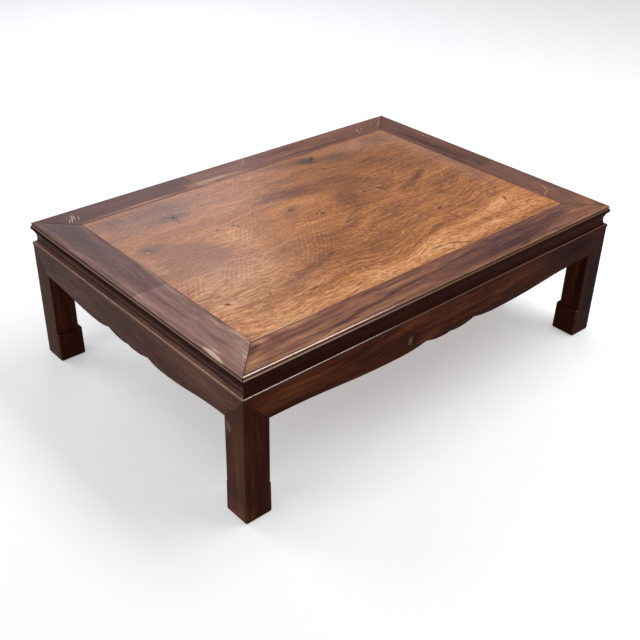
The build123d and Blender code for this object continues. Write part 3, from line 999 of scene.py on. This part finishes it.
# ---------------------------------------------------------------- the base
# Soft ovals of the base, by face: the place along the face, the height, then as above
LONG_FIGURE = {
    "front": (
        (-390, 236, 190, 70, 8, 0.32),
        (-300, 228, 200, 60, 0, 0.22),
        (-110, 246, 150, 22, 3, 0.25),
        (-60, 205, 130, 26, 4, 0.35),
        (-20, 230, 200, 50, 3, 0.15),
        (130, 228, 200, 30, 0, 0.20),
        (-250, 240, 120, 14, 6, -0.25),
        (-120, 222, 80, 30, 0, -0.20),
        (60, 222, 160, 16, 3, -0.25),
        (-96, 214, 30, 30, 0, -0.25),
        (380, 236, 260, 80, 0, -0.50),
    ),
}
SHORT_FIGURE = {
    "left": (
        (-230, 232, 240, 60, 0, 0.22),
        (60, 232, 320, 70, 0, -0.16),
        (260, 235, 200, 70, 0, -0.26),
        (-40, 226, 60, 30, 20, 0.14),
        (-130, 215, 100, 20, 0, -0.14),
    ),
}
# Level bands of the short sides, painted light and shade: a dark band of painted shade
# under the frame, a dark line, and pale bands of painted sheen and of the ledge's highlight;
# the height, the half height and the change of tone
SHORT_SHADE_AND_HIGHLIGHT_BANDS = (
    (277.0, 4.0, -0.45),
    (267.0, 2.4, -0.30),
    (262.8, 1.6, 0.15),
    (259.3, 3.6, 0.50),
)
LEG_FIGURE = {
    "left": (
        (-315, 150, 70, 300, 0, 0.30),
        (-322, 90, 8, 200, 0, 0.16),
        (-306, 60, 6, 120, 0, 0.16),
        (-315, 10, 80, 80, 0, 0.50),
    ),
    "front": (
        (-452, 150, 16, 240, 0, 0.18),
        (-436, 160, 10, 180, 0, -0.12),
        (-470, 90, 10, 120, 0, 0.12),
        (458, 110, 90, 340, 0, -0.50),
    ),
    "inside_right": ((-322, 130, 15, 240, 0, 0.30),),
    "inside_back": ((-472, 140, 24, 240, 0, 0.24),),
}
LONG_STOPS = (
    (0.0, "#230e0b"),
    (0.4, "#3e1d13"),
    (0.7, "#5c3120"),
    (1.0, "#87512f"),
)
SHORT_STOPS = (
    (0.0, "#2a1612"),
    (0.4, "#4d2f26"),
    (0.7, "#6b483d"),
    (1.0, "#966c56"),
)
BASE_STRENGTHS = (0.7, 0.5, 0.5, 0.1)
LONG_POLISH = {"specular": 0.01, "wear_highlight_colour": "#c4906e", "wear_highlight_share": 0.26, "gloss": 0.72, "satin": 0.08}
SHORT_POLISH = {"specular": 0.03, "wear_highlight_colour": "#b08c78", "wear_highlight_share": 0.2, "gloss": 0.4, "satin": 0.2}

# The woods of the base, with the pieces that are made of each
BASE_WOODS = {
    # Polished rosewood: nearly black, with red-brown streaks towards the left
    "polished_rosewood_long_sides": {
        "pieces": ("apron_front", "apron_back"),
        "along": ALONG_X,
        "stops": LONG_STOPS,
        "middle": 0.46,
        "roughness": 0.32,
        "polish": LONG_POLISH,
        "figure": LONG_FIGURE,
    },
    # The same wood under the frame, its tone darkened as painted shade, a little smoother
    "polished_rosewood_long_waists": {
        "pieces": ("waist_front", "waist_back"),
        "along": ALONG_X,
        "stops": LONG_STOPS,
        "middle": 0.28,
        "roughness": 0.30,
        "polish": LONG_POLISH,
    },
    # A greyer, paler board of it, satin rather than glossy, with level bands of painted shade and
    # painted highlight
    "polished_rosewood_short_sides": {
        "pieces": ("apron_left", "apron_right", "waist_left", "waist_right"),
        "along": ALONG_Y,
        "stops": SHORT_STOPS,
        "middle": 0.44,
        "roughness": 0.34,
        "polish": SHORT_POLISH,
        "figure": SHORT_FIGURE,
        "bands": SHORT_SHADE_AND_HIGHLIGHT_BANDS,
    },
    # Upright grain, very dark, with a pale veil of reflection painted on the end faces, and the
    # corners hardly paled by use
    "polished_rosewood_legs": {
        "pieces": ("leg_front_left", "leg_front_right", "leg_back_right", "leg_back_left"),
        "along": ALONG_Z,
        "stops": LONG_STOPS,
        "middle": 0.38,
        "roughness": 0.32,
        "polish": {**LONG_POLISH, "wear_highlight_colour": "#b08870", "wear_highlight_share": 0.04, "side_veil": 0.09},
        "figure": LEG_FIGURE,
    },
    # Rosewood straight from the plane: dull, with no wax and no bright arrises
    "dull_rosewood_battens": {
        "pieces": ("batten_left", "batten_middle", "batten_right"),
        "along": ALONG_Y,
        "stops": SHORT_STOPS,
        "middle": 0.55,
        "roughness": 0.62,
        "polish": {"specular": 0.1, "wear_highlight_colour": "#6b4a38", "wear_highlight_share": 0.2},
    },
}


# ---------------------------------------------------------------- the woods put on
set_material("top_panel", figured_panel_wood())
for member, look in FRAME_WOODS.items():
    set_material(member, straight_wood(f"waxed_rosewood_{member}", roughness=0.29, **look))
for wood_name, look in BASE_WOODS.items():
    pieces = look.pop("pieces")
    wood = straight_wood(wood_name, strengths=BASE_STRENGTHS, **look)
    for piece in pieces:
        set_material(piece, wood)


# ---------------------------------------------------------------- floor, lamps, sky
# In metres. The sky is white up to SKY_EDGE degrees above the horizon, and above that
# it has the plain level SKY_LEVEL.
FLOOR_REACH = 14.0
FLOOR_GLOW = 0.38
SKY_EDGE = 9.0
SKY_BLEND = 0.08  # how far, in the sine of the angle, the one passes into the other
SKY_LEVEL = 0.25
TABLE = (0.0, 0.0, 0.25)

# Name, place, the point it faces, width, height, radiance, colour
LAMPS = (
    ("skylight", (1.03, -0.8, 2.4), (1.03, -0.8, 0.0), 1.04, 2.6, 5.6, "#ffffff"),
    ("high_back", (-1.3, 2.27, 2.5), TABLE, 1.4, 1.2, 4.5, "#ffffff"),
    ("back_haze", (1.2, 2.75, 1.65), TABLE, 1.4, 1.3, 3.1, "#e6ecff"),
    ("left_fill", (-3.2, 0.3, 1.8), TABLE, 1.6, 1.4, 3.0, "#f2f5ff"),
)


def seen_directly(tree):
    """1 for rays from the camera and for those that reflect or pass straight on."""
    path = add(tree, "ShaderNodeLightPath").outputs
    seen = path["Is Camera Ray"]
    for ray in ("Is Glossy Ray", "Is Transmission Ray"):
        seen = add(tree, "ShaderNodeMath", {"operation": "MAXIMUM"}, {0: seen, 1: path[ray]})
    return seen


def white_floor():
    """Matt white floor: it shows as white and keeps the table's shadow."""
    reach = FLOOR_REACH
    corners = [(-reach, -reach, 0), (reach, -reach, 0), (reach, reach, 0), (-reach, reach, 0)]
    mesh = bpy.data.meshes.new("floor")
    mesh.from_pydata(corners, [], [(0, 1, 2, 3)])
    floor = bpy.data.objects.new("floor", mesh)
    bpy.context.scene.collection.objects.link(floor)
    material, tree, output = new_material("matt_white_floor")
    matt = add(tree, "ShaderNodeBsdfDiffuse", None, {"Color": colour("#e2e2e2")})
    glow = add(
        tree, "ShaderNodeEmission", None, {"Color": colour("#ffffff"), "Strength": FLOOR_GLOW}
    )
    both = add(tree, "ShaderNodeAddShader", None, {0: matt, 1: glow})
    shown = add(tree, "ShaderNodeMixShader", None, {0: seen_directly(tree), 1: matt, 2: both})
    tree.links.new(shown.outputs[0], output.inputs["Surface"])
    mesh.materials.append(material)


def white_sky():
    """Plain sky: white round the horizon, and a level light above it."""
    world = bpy.data.worlds.new("studio")
    bpy.context.scene.world = world
    world.use_nodes = True
    tree = world.node_tree
    tree.nodes.clear()
    direction = add(tree, "ShaderNodeTexCoord").outputs["Generated"]
    height = add(tree, "ShaderNodeSeparateXYZ", None, {0: direction}).outputs[2]
    edge = math.sin(math.radians(SKY_EDGE))
    level = soft_step(tree, height, edge, edge + SKY_BLEND, to_low=1.0, to_high=SKY_LEVEL)
    sky = add(
        tree, "ShaderNodeBackground", None, {"Color": colour("#ffffff"), "Strength": level}
    )
    output = tree.nodes.new("ShaderNodeOutputWorld")
    tree.links.new(sky.outputs[0], output.inputs["Surface"])


def softbox(name, place, aim, width, height, radiance, code):
    """A rectangular lamp that faces the point aim: its width level, its height upright."""
    lamp = bpy.data.lights.new(name, "AREA")
    lamp.shape = "RECTANGLE"
    lamp.size, lamp.size_y = width, height
    lamp.energy = radiance * math.pi * width * height
    lamp.color = colour(code)[:3]
    holder = bpy.data.objects.new(name, lamp)
    away = Vector(place) - Vector(aim)
    turn = away.to_track_quat("Z", "Y").to_matrix().to_4x4()
    holder.matrix_world = Matrix.Translation(place) @ turn
    bpy.context.scene.collection.objects.link(holder)


white_floor()
white_sky()
for lamp in LAMPS:
    softbox(*lamp)


# ---------------------------------------------------------------- camera
# Degrees, metres, and millimetres for the lens and the sensor
CAMERA_AZIMUTH, CAMERA_ELEVATION, CAMERA_ROLL = -42.16, 32.18, 1.39
CAMERA_TARGET = (-0.1121562, -0.1035288, 0.14379)
CAMERA_DISTANCE = 1.8961108
CAMERA_SENSOR, CAMERA_LENS = 36.0, 54.08


def place_camera():
    """Stands off the front left corner, a little above, turned slightly clockwise."""
    azimuth, elevation = math.radians(CAMERA_AZIMUTH), math.radians(CAMERA_ELEVATION)
    roll = math.radians(CAMERA_ROLL)
    back = Vector(
        (
            math.sin(azimuth) * math.cos(elevation),
            -math.cos(azimuth) * math.cos(elevation),
            math.sin(elevation),
        )
    )
    level = Vector((0, 0, 1)).cross(back).normalized()
    up = back.cross(level)
    right = level * math.cos(roll) + up * math.sin(roll)
    upright = up * math.cos(roll) - level * math.sin(roll)
    data = bpy.data.cameras.new("camera")
    data.sensor_width = CAMERA_SENSOR
    data.lens = CAMERA_LENS
    camera = bpy.data.objects.new("camera", data)
    position = Vector(CAMERA_TARGET) + back * CAMERA_DISTANCE
    turn = Matrix((right, upright, back)).transposed().to_4x4()
    camera.matrix_world = Matrix.Translation(position) @ turn
    bpy.context.scene.collection.objects.link(camera)
    bpy.context.scene.camera = camera


place_camera()
bpy.context.scene.view_settings.view_transform = "Standard"
